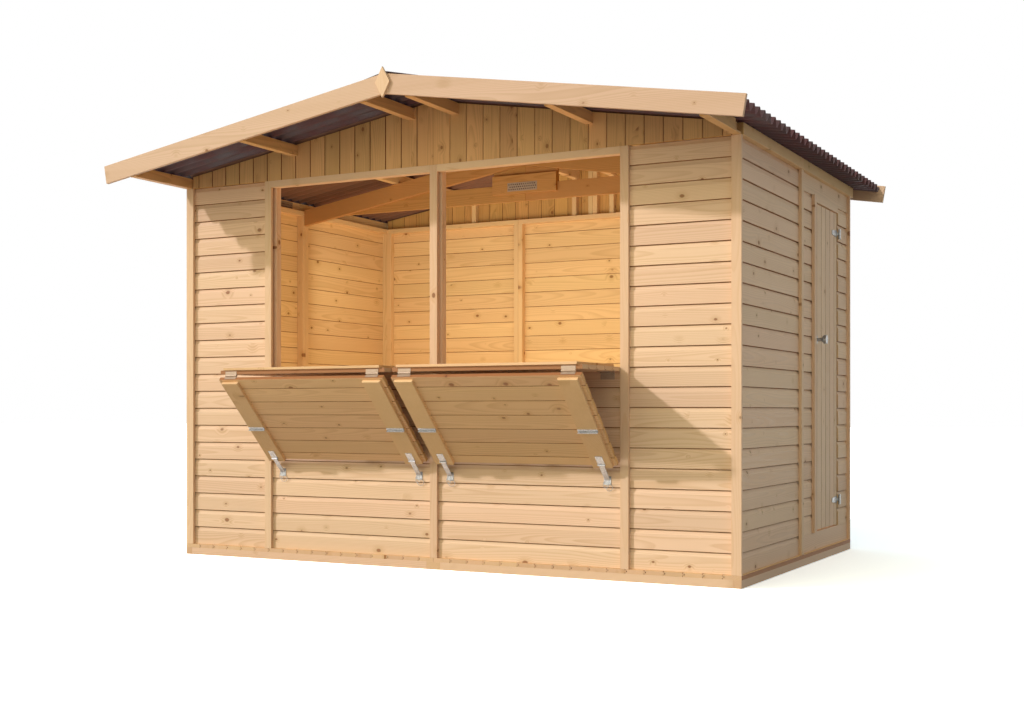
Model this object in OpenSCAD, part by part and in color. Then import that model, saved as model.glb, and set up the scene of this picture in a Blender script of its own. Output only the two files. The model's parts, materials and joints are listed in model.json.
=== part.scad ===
// Wooden market stall: boarded walls on stud frames, two folding counter shutters,
// a side door and a low double-pitched roof of corrugated sheets.
// Origin: centre of the footprint, on the ground. Front faces -Y, up is +Z.

/* [Stall] */
// Width over the corner strips
stall_w = 3000; // [2700:10:3400]
// Depth over the corner strips
stall_d = 1970; // [1850:10:2300]

/* [Floor] */
// Width of a floor joist
joist_w = 37; // [30:1:45]
// Height of a floor joist
joist_h = 36; // [30:1:60]
// Thickness of the floor boards
deck_t = 19; // [16:1:28]
// Cover width of a floor board
deck_pitch = 88.5; // [80:0.5:96]

/* [Walls] */
// Cover height of one siding board
board_h = 89; // [84:1:94]
// Boards in a full wall
wall_rows = 21; // [20:1:23]
// Thickness of a siding board at its lower edge
siding_t = 19; // [16:1:22]
// Depth of the step between two siding boards
siding_step = 7; // [3:1:9]
// Height of the bevel above each step
siding_bevel = 20; // [10:1:30]
// Width of a stud
stud_w = 28; // [24:1:36]
// Depth of a stud
stud_d = 40; // [34:1:50]
// Width of one sales window panel
window_panel_w = 970; // [860:5:1020]
// Width of one back panel
back_panel_w = 970; // [860:5:1020]
// Thickness of the cover strips
strip_t = 16; // [12:1:20]
// Width of a cover strip
strip_w = 40; // [34:1:50]
// Width of a corner strip
corner_w = 45; // [40:1:60]

/* [Sales windows] */
// Siding boards below a sales window
apron_rows = 10; // [8:1:11]
// Height of the header over a sales window
header_h = 33; // [28:1:60]

/* [Counter shutters] */
// Depth of the level shelf
shelf_len = 417; // [380:1:440]
// Length of the hanging leaf
leaf_len = 556; // [530:1:570]
// Clearance between the foot of the hanging leaf and the wall
leaf_foot = 20.43275; // [15:0.5:30]
// Thickness of the counter top on the shelf
counter_t = 12; // [10:1:18]
// Width of a batten on a leaf
batten_w = 94; // [70:1:100]
// Thickness of a batten
batten_t = 16; // [12:1:20]
// Gap between a shutter and the strips beside it
shutter_gap = 1; // [1:1:6]

/* [Door] */
// Width of the doorway
door_w = 510; // [480:5:540]
// Distance of the doorway from the rear end of the side wall
door_back = 208; // [190:2:240]
// Height of the lintel over the doorway
door_lintel_h = 114; // [95:1:150]
// Clearance round the door leaf
door_gap = 5; // [5:1:8]
// Depth of the door boards behind the siding
door_inset = 8; // [4:1:12]
// Thickness of the door boards
door_t = 19; // [16:1:22]

/* [Roof] */
// Pitch of the roof in degrees
roof_pitch = 9.4; // [8:0.2:12]
// Height of a purlin
purlin_h = 52; // [46:1:64]
// Width of a purlin
purlin_w = 38; // [32:1:45]
// Distance of a middle purlin from the centre line
mid_purlin_x = 802; // [700:5:900]
// Distance of a ridge purlin from the centre line
ridge_purlin_x = 120; // [100:5:160]
// Roof overhang at the front
overhang_front = 450; // [300:10:550]
// Roof overhang at the rear
overhang_rear = 150; // [120:10:250]
// Reach of the barge boards past a side wall
overhang_side = 158; // [120:2:200]
// Height of a barge board
barge_h = 90; // [80:1:110]
// Thickness of a barge board
barge_t = 18; // [15:1:24]
// Wave length of the roof sheets
wave_pitch = 76; // [60:1:95]
// Height of the waves
wave_h = 36; // [24:1:42]
// Thickness of the roof sheets
sheet_t = 3; // [2:0.5:4]
// Width of the ridge cap on one slope
cap_w = 172; // [120:2:240]

/* [Hidden] */
$fn = 32;

front = 0;
right = 1;
back = 2;
left = 3;

// Heights
base_z = joist_h + deck_t;
wall_h = wall_rows * board_h;
wall_z = base_z + wall_h;
apron_z = base_z + apron_rows * board_h;
rail_h = stud_w;

// Layers of a wall, counted inwards from the face of the strips
siding_in = strip_t + siding_t;
frame_in = siding_in + stud_d;

// Hairline between two prefabricated panels
seam = 1;

// Joint lines between the panels of each wall, from its left end as seen from outside
front_joints = [stall_w / 2 - window_panel_w, stall_w / 2, stall_w / 2 + window_panel_w];
back_joints = [stall_w / 2 - back_panel_w / 2, stall_w / 2 + back_panel_w / 2];
side_joints = [stall_d / 2];

// Doorway in the right wall
door_x1 = stall_d - door_back;
door_x0 = door_x1 - door_w;
door_z0 = base_z + board_h;
door_z1 = wall_z - door_lintel_h;

// Roof plane: the underside of the sheets
roof_tan = tan(roof_pitch);
ridge_z = wall_z + purlin_h + roof_tan * stall_w / 2;
function roof_z(x) = ridge_z - roof_tan * abs(x);
sheet_h = wave_h + sheet_t;
barge_rise = 39;
barge_x = stall_w / 2 + overhang_side;
eave_inset = 36;
sheet_x = barge_x - eave_inset;
gable_x = stall_w / 2 - corner_w;
roof_y0 = -stall_d / 2 - overhang_front;
roof_y1 = stall_d / 2 + overhang_rear;
eave_purlin_x = stall_w / 2 - purlin_w / 2;
function purlin_top(x) = roof_z(x + purlin_w / 2);
// Upper edge of the truss and of the gable studs, along the undersides of the purlins
function seat_z(x) = purlin_top(x) - purlin_h;
rafter_h = 90;
truss_t = 28;
tie_t = 20;
tie_drop = 38;

// Local frame of a wall: x along it from its left end as seen from outside, y inwards
module on_wall(side) {
    dx = side == front || side == left ? -1 : 1;
    dy = side == front || side == right ? -1 : 1;
    translate([dx * stall_w / 2, dy * stall_d / 2, 0]) rotate([0, 0, 90 * side]) children();
}

// A squared timber given by its limits on the three axes
module timber(x, y, z) {
    translate([x[0], y[0], z[0]]) cube([x[1] - x[0], y[1] - y[0], z[1] - z[0]]);
}

// Outer edge of a stack of lapped boards: each lower edge stands proud of the bevel below it
function siding_edge(rows, pitch) = [
    for (i = [0 : rows - 1])
        for (p = [[siding_t, i * pitch],
                  [siding_t, (i + 1) * pitch - siding_bevel],
                  [siding_t - 0.7 * siding_step, (i + 1) * pitch - 0.45 * siding_bevel],
                  [siding_t - siding_step, (i + 1) * pitch]]) p
];

// Boards running along +X, inner face on y = 0 and steps towards -Y
module siding(len, rows) {
    profile = concat([[0, 0]], siding_edge(rows, board_h), [[0, rows * board_h]]);
    rotate([90, 0, 90]) linear_extrude(len) polygon([for (p = profile) [-p[0], p[1]]]);
}

module wall_siding(x0, x1, rows) {
    translate([x0, siding_in, base_z]) siding(x1 - x0, rows);
}

// Part of a stack of boards between two heights, set down on z = 0
module cut_siding(len, z0, z1) {
    translate([0, 0, -z0]) intersection() {
        siding(len, ceil(z1 / board_h));
        timber([0, len], [-siding_t, 0], [z0, z1]);
    }
}

// Boards laid side by side along +X, grooved on the face towards -Y, standing along Z
module boarding(w, h, t, pitch) {
    groove = 3;
    joints = [for (i = [1 : ceil(w / pitch) - 1]) if (i * pitch < w - groove) i * pitch];
    face = [for (x = joints) for (p = [[x - groove, 0], [x, groove], [x + groove, 0]]) p];
    linear_extrude(h) polygon(concat([[0, 0]], face, [[w, 0], [w, t], [0, t]]));
}

// Two floor sections side by side, each with joists from front to back and rims between them
joist_bays = 3;
joist_bay = (stall_w / 2 - joist_w) / joist_bays;

module floor_joists() {
    color("burlywood") for (s = [-1, 1], i = [0 : joist_bays])
        let (x = s * (stall_w / 2 - joist_w / 2 - i * joist_bay),
             y = stall_d / 2 - (i > 0 && i < joist_bays ? joist_w : 0))
            timber([x - joist_w / 2, x + joist_w / 2], [-y, y], [0, joist_h]);
}

module floor_rims() {
    y = stall_d / 2 - joist_w;
    color("burlywood") for (s = [0, 1], e = [0, 1])
        mirror([s, 0, 0]) mirror([0, e, 0])
            timber([joist_w, stall_w / 2 - joist_w], [y, y + joist_w], [0, joist_h]);
}

module floor_deck() {
    half = stall_w / 2;
    color("wheat")
    for (x = [-half, seam / 2])
        translate([x, stall_d / 2, joist_h + deck_t]) rotate([90, 0, 0]) mirror([0, 1, 0])
            boarding(half - seam / 2, stall_d, deck_t, deck_pitch);
}

module front_wall() {
    color("burlywood") on_wall(front) {
        wall_siding(siding_in, front_joints[0] - seam / 2, wall_rows);
        wall_siding(front_joints[2] + seam / 2, stall_w - siding_in, wall_rows);
    }
}

module front_aprons() {
    color("burlywood") on_wall(front)
        for (i = [0, 1])
            wall_siding(front_joints[i] + seam / 2, front_joints[i + 1] - seam / 2, apron_rows);
}

module left_wall() {
    color("tan") on_wall(left) {
        wall_siding(strip_t, side_joints[0] - seam / 2, wall_rows);
        wall_siding(side_joints[0] + seam / 2, stall_d - strip_t, wall_rows);
    }
}

module right_wall() {
    color("tan") on_wall(right) {
        wall_siding(strip_t, side_joints[0] - seam / 2, wall_rows);
        for (x = [[side_joints[0] + seam / 2, door_x0], [door_x1, stall_d - strip_t]])
            translate([0, 0, board_h]) wall_siding(x[0], x[1], wall_rows - 2);
    }
}

module back_wall() {
    edges = concat([siding_in - seam / 2], back_joints, [stall_w - siding_in + seam / 2]);
    color("tan") on_wall(back)
        for (i = [0 : len(edges) - 2])
            wall_siding(edges[i] + seam / 2, edges[i + 1] - seam / 2, wall_rows);
}

// Plain boards below and above the doorway, from the middle strip to the rear;
// the upper one reaches down to the door
module door_surround() {
    x0 = side_joints[0] + seam / 2;
    x1 = stall_d - strip_t;
    z2 = wall_z - board_h;
    color("tan") on_wall(right) {
        timber([x0, x1], [strip_t, siding_in], [base_z, door_z0]);
        translate([0, siding_in, 0]) rotate([90, 0, 0]) linear_extrude(siding_t)
            polygon([[x0, z2], [door_x0, z2], [door_x0, door_z1], [door_x1, door_z1],
                     [door_x1, z2], [x1, z2], [x1, wall_z], [x0, wall_z]]);
    }
}

module studs(edges) {
    for (i = [0 : len(edges) - 2])
        for (x = [edges[i] + seam / 2, edges[i + 1] - seam / 2 - stud_w])
            timber([x, x + stud_w], [siding_in, frame_in], [base_z + rail_h, wall_z - rail_h]);
}

module rails(edges, z) {
    for (i = [0 : len(edges) - 2])
        timber([edges[i] + seam / 2, edges[i + 1] - seam / 2], [siding_in, frame_in], [z, z + rail_h]);
}

front_edges = concat([frame_in], front_joints, [stall_w - frame_in]);
back_edges = concat([frame_in], back_joints, [stall_w - frame_in]);
side_edges = concat([siding_in], side_joints, [stall_d - siding_in]);

module front_studs() {
    color("peru") on_wall(front) studs(front_edges);
}

module front_rails() {
    color("peru") on_wall(front) {
        rails(front_edges, base_z);
        rails(front_edges, wall_z - rail_h);
        for (i = [0, 1])
            timber([front_joints[i] + seam / 2 + stud_w, front_joints[i + 1] - seam / 2 - stud_w],
                   [siding_in, frame_in], [apron_z - rail_h, apron_z]);
    }
}

module back_studs() {
    color("peru") on_wall(back) studs(back_edges);
}

module back_rails() {
    color("peru") on_wall(back) for (z = [base_z, wall_z - rail_h]) rails(back_edges, z);
}

module side_studs() {
    color("peru") {
        on_wall(left) studs(side_edges);
        on_wall(right) {
            studs(side_edges);
            for (x = [door_x0 - stud_w, door_x1])
                timber([x, x + stud_w], [siding_in, frame_in], [base_z + rail_h, wall_z - rail_h]);
        }
    }
}

module side_rails() {
    color("peru") {
        on_wall(left) for (z = [base_z, wall_z - rail_h]) rails(side_edges, z);
        on_wall(right) for (z = [base_z, wall_z - rail_h]) rails(side_edges, z);
    }
}

module cover_strips() {
    half = strip_w / 2;
    color("bisque") {
        on_wall(front) for (x = front_joints)
            timber([x - half, x + half], [0, strip_t], [base_z, wall_z]);
        on_wall(back) for (x = back_joints)
            timber([x - half, x + half], [0, strip_t], [base_z, wall_z]);
        for (side = [left, right])
            on_wall(side) timber([stall_d / 2 - half, stall_d / 2 + half], [0, strip_t], [base_z, wall_z]);
        on_wall(right) timber([door_x0 - strip_w, door_x0], [0, strip_t], [door_z0, wall_z - board_h]);
    }
}

module corner_strips() {
    color("bisque")
    for (side = [front, back])
        on_wall(side) for (x = [0, stall_w - corner_w])
            timber([x, x + corner_w], [0, strip_t], [base_z, wall_z]);
}

// Headers over the sales windows, flush with the strips
module window_headers() {
    color("bisque") on_wall(front)
        for (i = [0, 1])
            timber([front_joints[i] + strip_w / 2, front_joints[i + 1] - strip_w / 2],
                   [0, siding_in], [wall_z - header_h, wall_z]);
}

// One half of a gable: upright boards under the slope of the sheets
module gable_half(face_y, groove_out) {
    intersection() {
        translate([seam / 2, face_y, wall_z]) mirror([0, groove_out, 0])
            boarding(gable_x, purlin_h + roof_tan * stall_w / 2, strip_t, deck_pitch);
        translate([0, face_y + strip_t, 0]) rotate([90, 0, 0]) linear_extrude(2 * strip_t)
            polygon([[seam / 2, wall_z], [gable_x, wall_z], [gable_x, roof_z(gable_x)],
                     [seam / 2, roof_z(seam / 2)]]);
    }
}

module front_gable() {
    color("tan") for (s = [0, 1])
        mirror([s, 0, 0]) gable_half(-stall_d / 2, 0);
}

module rear_gable() {
    color("tan") for (s = [0, 1])
        mirror([s, 0, 0]) gable_half(stall_d / 2, 1);
}

// Short studs inside the gables, under the purlins
module gable_studs() {
    heads = [[(stud_w + seam) / 2, roof_z(stud_w + seam)], [ridge_purlin_x, seat_z(ridge_purlin_x)],
             [mid_purlin_x, seat_z(mid_purlin_x)]];
    y = stall_d / 2 - strip_t - stud_d;
    color("peru") for (e = [0, 1], s = [-1, 1], h = heads)
        mirror([0, e, 0]) timber([s * h[0] - stud_w / 2, s * h[0] + stud_w / 2], [y, y + stud_d],
                                 [wall_z, h[1]]);
}

module purlin(x, y) {
    timber([x - purlin_w / 2, x + purlin_w / 2], y, [seat_z(abs(x)), purlin_top(abs(x))]);
}

// Eave purlins on the side walls, in two lengths, a little proud of the strips
module eave_purlins() {
    proud = 6;
    set_back = 10;
    past_rear = 38;
    start = set_back - stall_d / 2;
    end = stall_d / 2 + past_rear;
    out = stall_w / 2 + proud;
    color("peru") for (s = [0, 1], y = [[start, -seam / 2], [seam / 2, end]])
        mirror([s, 0, 0]) timber([out - purlin_w, out], y, [wall_z, roof_z(out)]);
}

module purlins() {
    inner = stall_d / 2 - strip_t;
    color("peru") for (s = [-1, 1], x = [ridge_purlin_x, mid_purlin_x]) {
        purlin(s * x, [-inner, -seam / 2]);
        purlin(s * x, [seam / 2, inner]);
    }
}

// Purlin ends that carry the front overhang; the outer ones are recessed beside the wall
module front_purlin_ends() {
    outer = roof_y0 + barge_t;
    face = -stall_d / 2;
    recess = 80;
    lip = 8;
    color("peru") for (s = [0, 1]) mirror([s, 0, 0]) {
        for (x = [ridge_purlin_x, mid_purlin_x]) purlin(x, [outer, face]);
        difference() {
            purlin(eave_purlin_x, [outer, face]);
            translate([eave_purlin_x, face - recess, wall_z + lip]) cube([purlin_w, 2 * recess, purlin_h]);
        }
    }
}

module rear_purlin_ends() {
    color("peru") for (s = [-1, 1], x = [ridge_purlin_x, mid_purlin_x])
        purlin(s * x, [stall_d / 2, roof_y1 - barge_t]);
}

// Truss at mid depth; its upper edge runs under the purlins' lower uphill edges
truss_x = stall_w / 2 - frame_in;
truss_top = seat_z(purlin_w / 2);
truss_drop = rafter_h / cos(roof_pitch);

module truss_rafters() {
    end = truss_top - roof_tan * truss_x;
    color("peru") for (s = [0, 1])
        mirror([s, 0, 0]) translate([0, truss_t / 2, 0]) rotate([90, 0, 0]) linear_extrude(truss_t)
            polygon([[seam / 2, truss_top], [truss_x, end], [truss_x, end - truss_drop],
                     [seam / 2, truss_top - truss_drop]]);
}

tie_z = wall_z - tie_drop;
gusset_w = 190;
splice_h = 100;
splice_z = tie_z + 40;

module truss_ties() {
    tie_top = tie_z + rafter_h;
    meet = (truss_top - tie_top) / roof_tan;
    middle = truss_top - truss_drop / 2;
    color("peru") for (s = [0, 1])
        mirror([s, 0, 0]) translate([0, truss_t / 2 + tie_t, 0]) rotate([90, 0, 0]) linear_extrude(tie_t)
            polygon([[seam / 2, tie_z], [truss_x, tie_z], [truss_x, truss_top - roof_tan * truss_x],
                     [meet, tie_top], [gusset_w, tie_top], [gusset_w, middle - roof_tan * gusset_w],
                     [seam / 2, middle]]);
}

module truss_splice() {
    color("peru") timber([-gusset_w, gusset_w], [truss_t / 2 - tie_t, truss_t / 2],
                         [splice_z, splice_z + splice_h]);
}

// Roof frame: local x runs down the slope, z stands off the sheet underside
module on_slope(s) {
    mirror([s, 0, 0]) translate([0, 0, ridge_z]) rotate([0, roof_pitch, 0]) children();
}

wave_steps = 10;

// Corrugated sheet profile, along y
function wave(y) = wave_h / 2 * (1 - cos(360 * y / wave_pitch));
module sheet(s) {
    y0 = roof_y0 + barge_t;
    len = roof_y1 - roof_y0 - 2 * barge_t;
    n = floor(len / wave_pitch * wave_steps);
    step = len / n;
    ridge_gap = 22;
    lower = [for (i = [0 : n]) [y0 + i * step, wave(i * step)]];
    upper = [for (i = [n : -1 : 0]) [y0 + i * step, wave(i * step) + sheet_t]];
    on_slope(s) translate([ridge_gap, 0, 0]) rotate([90, 0, 90])
        linear_extrude(sheet_x / cos(roof_pitch) - ridge_gap) polygon(concat(lower, upper));
}

module roof_sheet_left() {
    color("#4a2228") sheet(1);
}

module roof_sheet_right() {
    color("#4a2228") sheet(0);
}

module ridge_cap() {
    cap_t = 3;
    crown = 10;
    low = sheet_h / cos(roof_pitch);
    high = (sheet_h + cap_t) / cos(roof_pitch);
    reach = cap_w * cos(roof_pitch);
    fall = reach * roof_tan;
    color("#4a2228") translate([0, roof_y1 - barge_t, ridge_z]) rotate([90, 0, 0])
        linear_extrude(roof_y1 - roof_y0 - 2 * barge_t)
            polygon([[0, high + crown], [reach, high - fall], [reach, low - fall], [0, low + crown],
                     [-reach, low - fall], [-reach, high - fall]]);
}

module barge_boards() {
    top = ridge_z + barge_rise;
    p1 = [barge_x, top - roof_tan * barge_x];
    p2 = p1 - barge_h * [sin(roof_pitch), cos(roof_pitch)];
    p3 = [seam / 2, p2[1] + roof_tan * (p2[0] - seam / 2)];
    color("wheat") for (s = [0, 1], y = [roof_y0 + barge_t, roof_y1])
        mirror([s, 0, 0]) translate([0, y, 0]) rotate([90, 0, 0])
            linear_extrude(barge_t) polygon([[seam / 2, top - roof_tan * seam / 2], p1, p2, p3]);
}

// Diamond plates over the joints of the barge boards
module finials() {
    half_w = 38;
    high = 141;
    finial_t = 12;
    above_barge = 29;
    low_z = ridge_z + barge_rise + above_barge - high;
    color("wheat") for (y = [roof_y0, roof_y1 + finial_t])
        translate([0, y, low_z]) rotate([90, 0, 0]) linear_extrude(finial_t)
            polygon([[0, 0], [half_w, high / 2], [0, high], [-half_w, high / 2]]);
}

// Folding counter shutters
shelf_z = apron_z - 16;
shelf_y = 8;
fold_y = shelf_y - shelf_len;
knuckle_r = 5;
plate_t = 2;
fold_z = shelf_z - knuckle_r - 0.5;
shutter_w = window_panel_w - strip_w - 2 * shutter_gap;
batten_inset = 17;
batten_start = 12;
hinge_x = 31;
hinge_w = 66;
// Part cut off the lower edge of the first board of a leaf
leaf_cut = 29;
// Angle of the hanging leaf below level: its foot hangs close in front of the wall
leaf_angle = acos((shelf_len - leaf_foot) / leaf_len);
// Corner of a leaf below and behind the hinge pin at the fold, along its own axes
leaf_drop = 5.2;
leaf_out = 6;

function window_x(i) = -window_panel_w * (1 - i) + strip_w / 2 + shutter_gap;

// Frame of a shutter: x from its left end, y from the face of the wall
module on_window(i) {
    translate([window_x(i), -stall_d / 2, 0]) children();
}

// Frame of a leaf: x along it, y up the leaf towards the shelf, z out of its flat face
module on_leaf() {
    translate([0, fold_y, fold_z]) rotate([180 - leaf_angle, 0, 0])
        translate([0, -leaf_len - leaf_drop, siding_t + leaf_out]) children();
}

module counter_shelves() {
    color("burlywood") for (i = [0, 1])
        on_window(i) translate([0, shelf_y, shelf_z + siding_t]) rotate([90, 0, 0])
            cut_siding(shutter_w, 0, shelf_len);
}

module shutter_leaves() {
    color("burlywood") for (i = [0, 1])
        on_window(i) on_leaf() translate([0, leaf_len, 0]) rotate([90, 0, 0])
            cut_siding(shutter_w, leaf_cut, leaf_cut + leaf_len);
}

// Counter tops on the shelves and battens on the leaves; both fit between the window studs
module shutter_battens() {
    top_inset = 23;
    top_z = shelf_z + siding_t;
    lap = 8;
    back = 22;
    color("peru") for (i = [0, 1])
        on_window(i) {
            timber([top_inset, shutter_w - top_inset], [fold_y - lap, shelf_y - back],
                   [top_z, top_z + counter_t]);
            for (x = [batten_inset, shutter_w - batten_inset - batten_w])
                on_leaf() timber([x, x + batten_w], [0, leaf_len - batten_start], [0, batten_t]);
        }
}

// Hinges: below the shelf at the wall, and between the ends of shelf and leaf at the fold
module shutter_hinges() {
    pin_y = strip_t - knuckle_r - 1;
    wall_flange = 30;
    shelf_flange = 40;
    edge_flange = 14;
    color("silver") for (i = [0, 1], x = [hinge_x, shutter_w - hinge_x - hinge_w])
        on_window(i) {
            union() {
                timber([x, x + hinge_w], [strip_t - plate_t, strip_t], [fold_z - wall_flange, fold_z]);
                timber([x, x + hinge_w], [shelf_y - shelf_flange, pin_y], [shelf_z - plate_t, shelf_z]);
                translate([x, pin_y, fold_z]) rotate([0, 90, 0]) cylinder(r = knuckle_r, h = hinge_w);
            }
            union() {
                timber([x, x + hinge_w], [fold_y - plate_t, fold_y], [fold_z, shelf_z + edge_flange]);
                translate([x, fold_y, fold_z]) rotate([0, 90, 0]) cylinder(r = knuckle_r, h = hinge_w);
                on_leaf() timber([x, x + hinge_w], [leaf_len, leaf_len + plate_t],
                                 [-siding_t - leaf_out, edge_flange - siding_t]);
            }
        }
}

// Hasps: plate and knuckle on the batten, strap down to a staple plate on the wall
hasp_bar_y = 22;
hasp_plate = 53;
hasp_w = 34;
hasp_r = 3.5;
strap_off = 4;
strap_w = siding_t + leaf_out + batten_t + strap_off;
strap_u = -(strip_t - 1 - fold_y + strap_w * sin(leaf_angle)) / cos(leaf_angle);
staple_z = fold_z + strap_u * sin(leaf_angle) - strap_w * cos(leaf_angle);

module shutter_hasps() {
    half = hasp_w / 2;
    end = strap_u + leaf_len + leaf_drop;
    staple_t = 3;
    staple_h = 38;
    middle = batten_inset + batten_w / 2;
    color("silver") for (i = [0, 1], x = [middle, shutter_w - middle])
        on_window(i) {
            on_leaf() {
                timber([x - half, x + half], [hasp_bar_y, hasp_bar_y + hasp_plate],
                       [batten_t, batten_t + plate_t]);
                translate([x - half - 1, hasp_bar_y, batten_t + strap_off]) rotate([0, 90, 0])
                    cylinder(r = hasp_r, h = hasp_w + 2);
                timber([x - half + 4, x + half - 4], [end, hasp_bar_y],
                       [batten_t + strap_off - plate_t / 2, batten_t + strap_off + plate_t / 2]);
            }
            timber([x - half, x + half], [strip_t - staple_t, strip_t],
                   [staple_z - staple_h / 2, staple_z + staple_h / 2]);
        }
}

// Angle irons across the battens
module shutter_brackets() {
    flange = 15;
    lip = 11;
    y = leaf_len - 325;
    color("silver") for (i = [0, 1], x = [batten_inset, shutter_w - batten_inset - batten_w])
        on_window(i) on_leaf() {
            timber([x, x + batten_w], [y, y + flange], [batten_t, batten_t + plate_t]);
            timber([x, x + batten_w], [y, y + plate_t], [batten_t, batten_t + lip]);
        }
}

// Side door, hung at its rear edge; the hinge pin stands proud of the boards
pivot_out = 8;
pin_r = 3;
pin_gap = 0.1;
barrel_r = 6;
hinge_h = 51;
hinge_t = 3;
tab = 9;
hinge_low = 139;
hinge_high = 112;
// Room for the inner corner of the leaf as it swings
swing_gap = 2;
pivot = [door_x1 + 2, strip_t - pivot_out];
hinge_zs = [door_z0 + hinge_low, door_z1 - hinge_high];
leaf_x0 = door_x0 + door_gap + swing_gap;
leaf_x1 = door_x1 - door_gap;
leaf_z0 = door_z0 + door_gap;
leaf_z1 = door_z1 - door_gap;
leaf_y0 = strip_t + door_inset;
leaf_y1 = leaf_y0 + door_t;
stop_w = 12;
stop_t = 16;

module door_stops() {
    y = leaf_y1 + door_gap;
    color("peru") on_wall(right) for (x = [door_x0, door_x1 - stop_w])
        timber([x, x + stop_w], [y, y + stop_t], [base_z + rail_h, wall_z - rail_h]);
}

// Fixed hinge halves: plate, upper and lower barrels and the pin
module door_hinge_pins() {
    reach = 42;
    barrel_h = hinge_h / 3;
    plate_y = [strip_t - hinge_t, strip_t];
    color("silver") on_wall(right) for (z = hinge_zs) union() {
        translate([pivot[0], pivot[1], z - hinge_h / 2 - 2]) cylinder(r = pin_r, h = hinge_h + 4);
        timber([pivot[0] + tab, pivot[0] + reach], plate_y, [z - hinge_h / 2, z + hinge_h / 2]);
        for (low = [z - hinge_h / 2, z + hinge_h / 2 - barrel_h]) {
            timber([pivot[0], pivot[0] + reach], plate_y, [low, low + barrel_h]);
            translate([pivot[0], pivot[1], low]) cylinder(r = barrel_r, h = barrel_h);
        }
    }
}

module door_boards() {
    color("tan") on_wall(right) translate([leaf_x0, leaf_y0, leaf_z0])
        boarding(leaf_x1 - leaf_x0, leaf_z1 - leaf_z0, door_t, deck_pitch);
}

module door_ledges() {
    ledge_h = 88;
    ledge_t = 16;
    clear = stop_w + 6;
    tall = leaf_z1 - leaf_z0;
    color("peru") on_wall(right) for (f = [0.09, 0.5, 0.91])
        let (z = leaf_z0 + f * tall - ledge_h / 2)
            timber([leaf_x0 + clear, leaf_x1 - clear], [leaf_y1, leaf_y1 + ledge_t], [z, z + ledge_h]);
}

// Moving hinge halves: strap on the boards, cranked out to the middle barrel round the pin
module door_straps() {
    barrel_h = hinge_h / 3 - 1;
    reach = 110;
    half = 19;
    tip = 11;
    crank = pivot[0] - tab;
    end = pivot[0] - reach;
    color("silver") on_wall(right) for (z = hinge_zs) difference() {
        union() {
            translate([0, leaf_y0, z]) rotate([90, 0, 0]) linear_extrude(hinge_t)
                polygon([[end, -tip], [crank, -half], [crank, half], [end, tip]]);
            timber([crank - hinge_t, crank], [strip_t - hinge_t, leaf_y0],
                   [z - barrel_h / 2, z + barrel_h / 2]);
            timber([crank - hinge_t, pivot[0]], [strip_t - hinge_t, strip_t],
                   [z - barrel_h / 2, z + barrel_h / 2]);
            translate([pivot[0], pivot[1], z - barrel_h / 2]) cylinder(r = barrel_r, h = barrel_h);
        }
        translate([pivot[0], pivot[1], z - hinge_h]) cylinder(r = pin_r + pin_gap, h = 2 * hinge_h);
    }
}

module door_knob() {
    knob_x = 66;
    knob_z = 966;
    rose_r = 24;
    rose_t = 4;
    neck_r = 9;
    neck_h = 34;
    flare_r = 14;
    head_r = 22;
    head_h = 14;
    taper_h = 8;
    color("silver") on_wall(right)
        translate([leaf_x0 + knob_x, leaf_y0, leaf_z0 + knob_z]) rotate([90, 0, 0]) {
            cylinder(r = rose_r, h = rose_t);
            cylinder(r = neck_r, h = neck_h);
            translate([0, 0, neck_h]) cylinder(r1 = flare_r, r2 = head_r, h = taper_h);
            translate([0, 0, neck_h + taper_h]) cylinder(r = head_r, h = head_h);
        }
}

floor_joists();
floor_rims();
floor_deck();
front_wall();
front_aprons();
left_wall();
right_wall();
back_wall();
door_surround();
front_studs();
front_rails();
back_studs();
back_rails();
side_studs();
side_rails();
cover_strips();
corner_strips();
window_headers();
front_gable();
rear_gable();
gable_studs();
eave_purlins();
purlins();
front_purlin_ends();
rear_purlin_ends();
truss_rafters();
truss_ties();
truss_splice();
roof_sheet_left();
roof_sheet_right();
ridge_cap();
barge_boards();
finials();
counter_shelves();
shutter_leaves();
shutter_battens();
shutter_hinges();
shutter_hasps();
shutter_brackets();
door_stops();
door_hinge_pins();
door_boards();
door_ledges();
door_straps();
door_knob();
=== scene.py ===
# %% [markdown]
# # A market stall of raw spruce
# The stall is a small timber hut with boarded walls, two sales windows with counters that fold
# down, a side door and a low roof of corrugated sheets. Its construction comes from the packed
# CAD model, so every timber is already in its true place. This lesson cuts the wall panels
# into single boards, rounds the edges that a planing machine would round, gives each timber
# a grain of its own and lights the stall like a product photograph.

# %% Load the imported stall
import json
import math
import random

import bmesh
import bpy
from mathutils import Matrix, Vector


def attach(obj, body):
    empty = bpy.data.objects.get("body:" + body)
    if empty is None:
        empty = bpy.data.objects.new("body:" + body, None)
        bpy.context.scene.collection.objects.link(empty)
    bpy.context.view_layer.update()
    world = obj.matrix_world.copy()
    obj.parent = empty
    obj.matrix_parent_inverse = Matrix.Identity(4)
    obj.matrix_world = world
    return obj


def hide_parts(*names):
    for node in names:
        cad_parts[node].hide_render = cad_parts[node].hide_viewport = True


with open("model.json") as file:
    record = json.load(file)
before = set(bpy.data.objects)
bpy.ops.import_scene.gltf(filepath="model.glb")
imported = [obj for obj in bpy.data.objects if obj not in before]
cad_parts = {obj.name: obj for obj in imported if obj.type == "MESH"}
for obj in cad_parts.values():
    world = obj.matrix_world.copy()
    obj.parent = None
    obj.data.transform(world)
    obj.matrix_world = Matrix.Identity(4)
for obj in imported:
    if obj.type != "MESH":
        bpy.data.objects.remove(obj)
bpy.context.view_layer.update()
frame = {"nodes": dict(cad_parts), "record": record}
nodes = frame["nodes"]
DOOR_NODES = set(frame["record"]["behaviour"]["bodies"]["door"])

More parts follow.
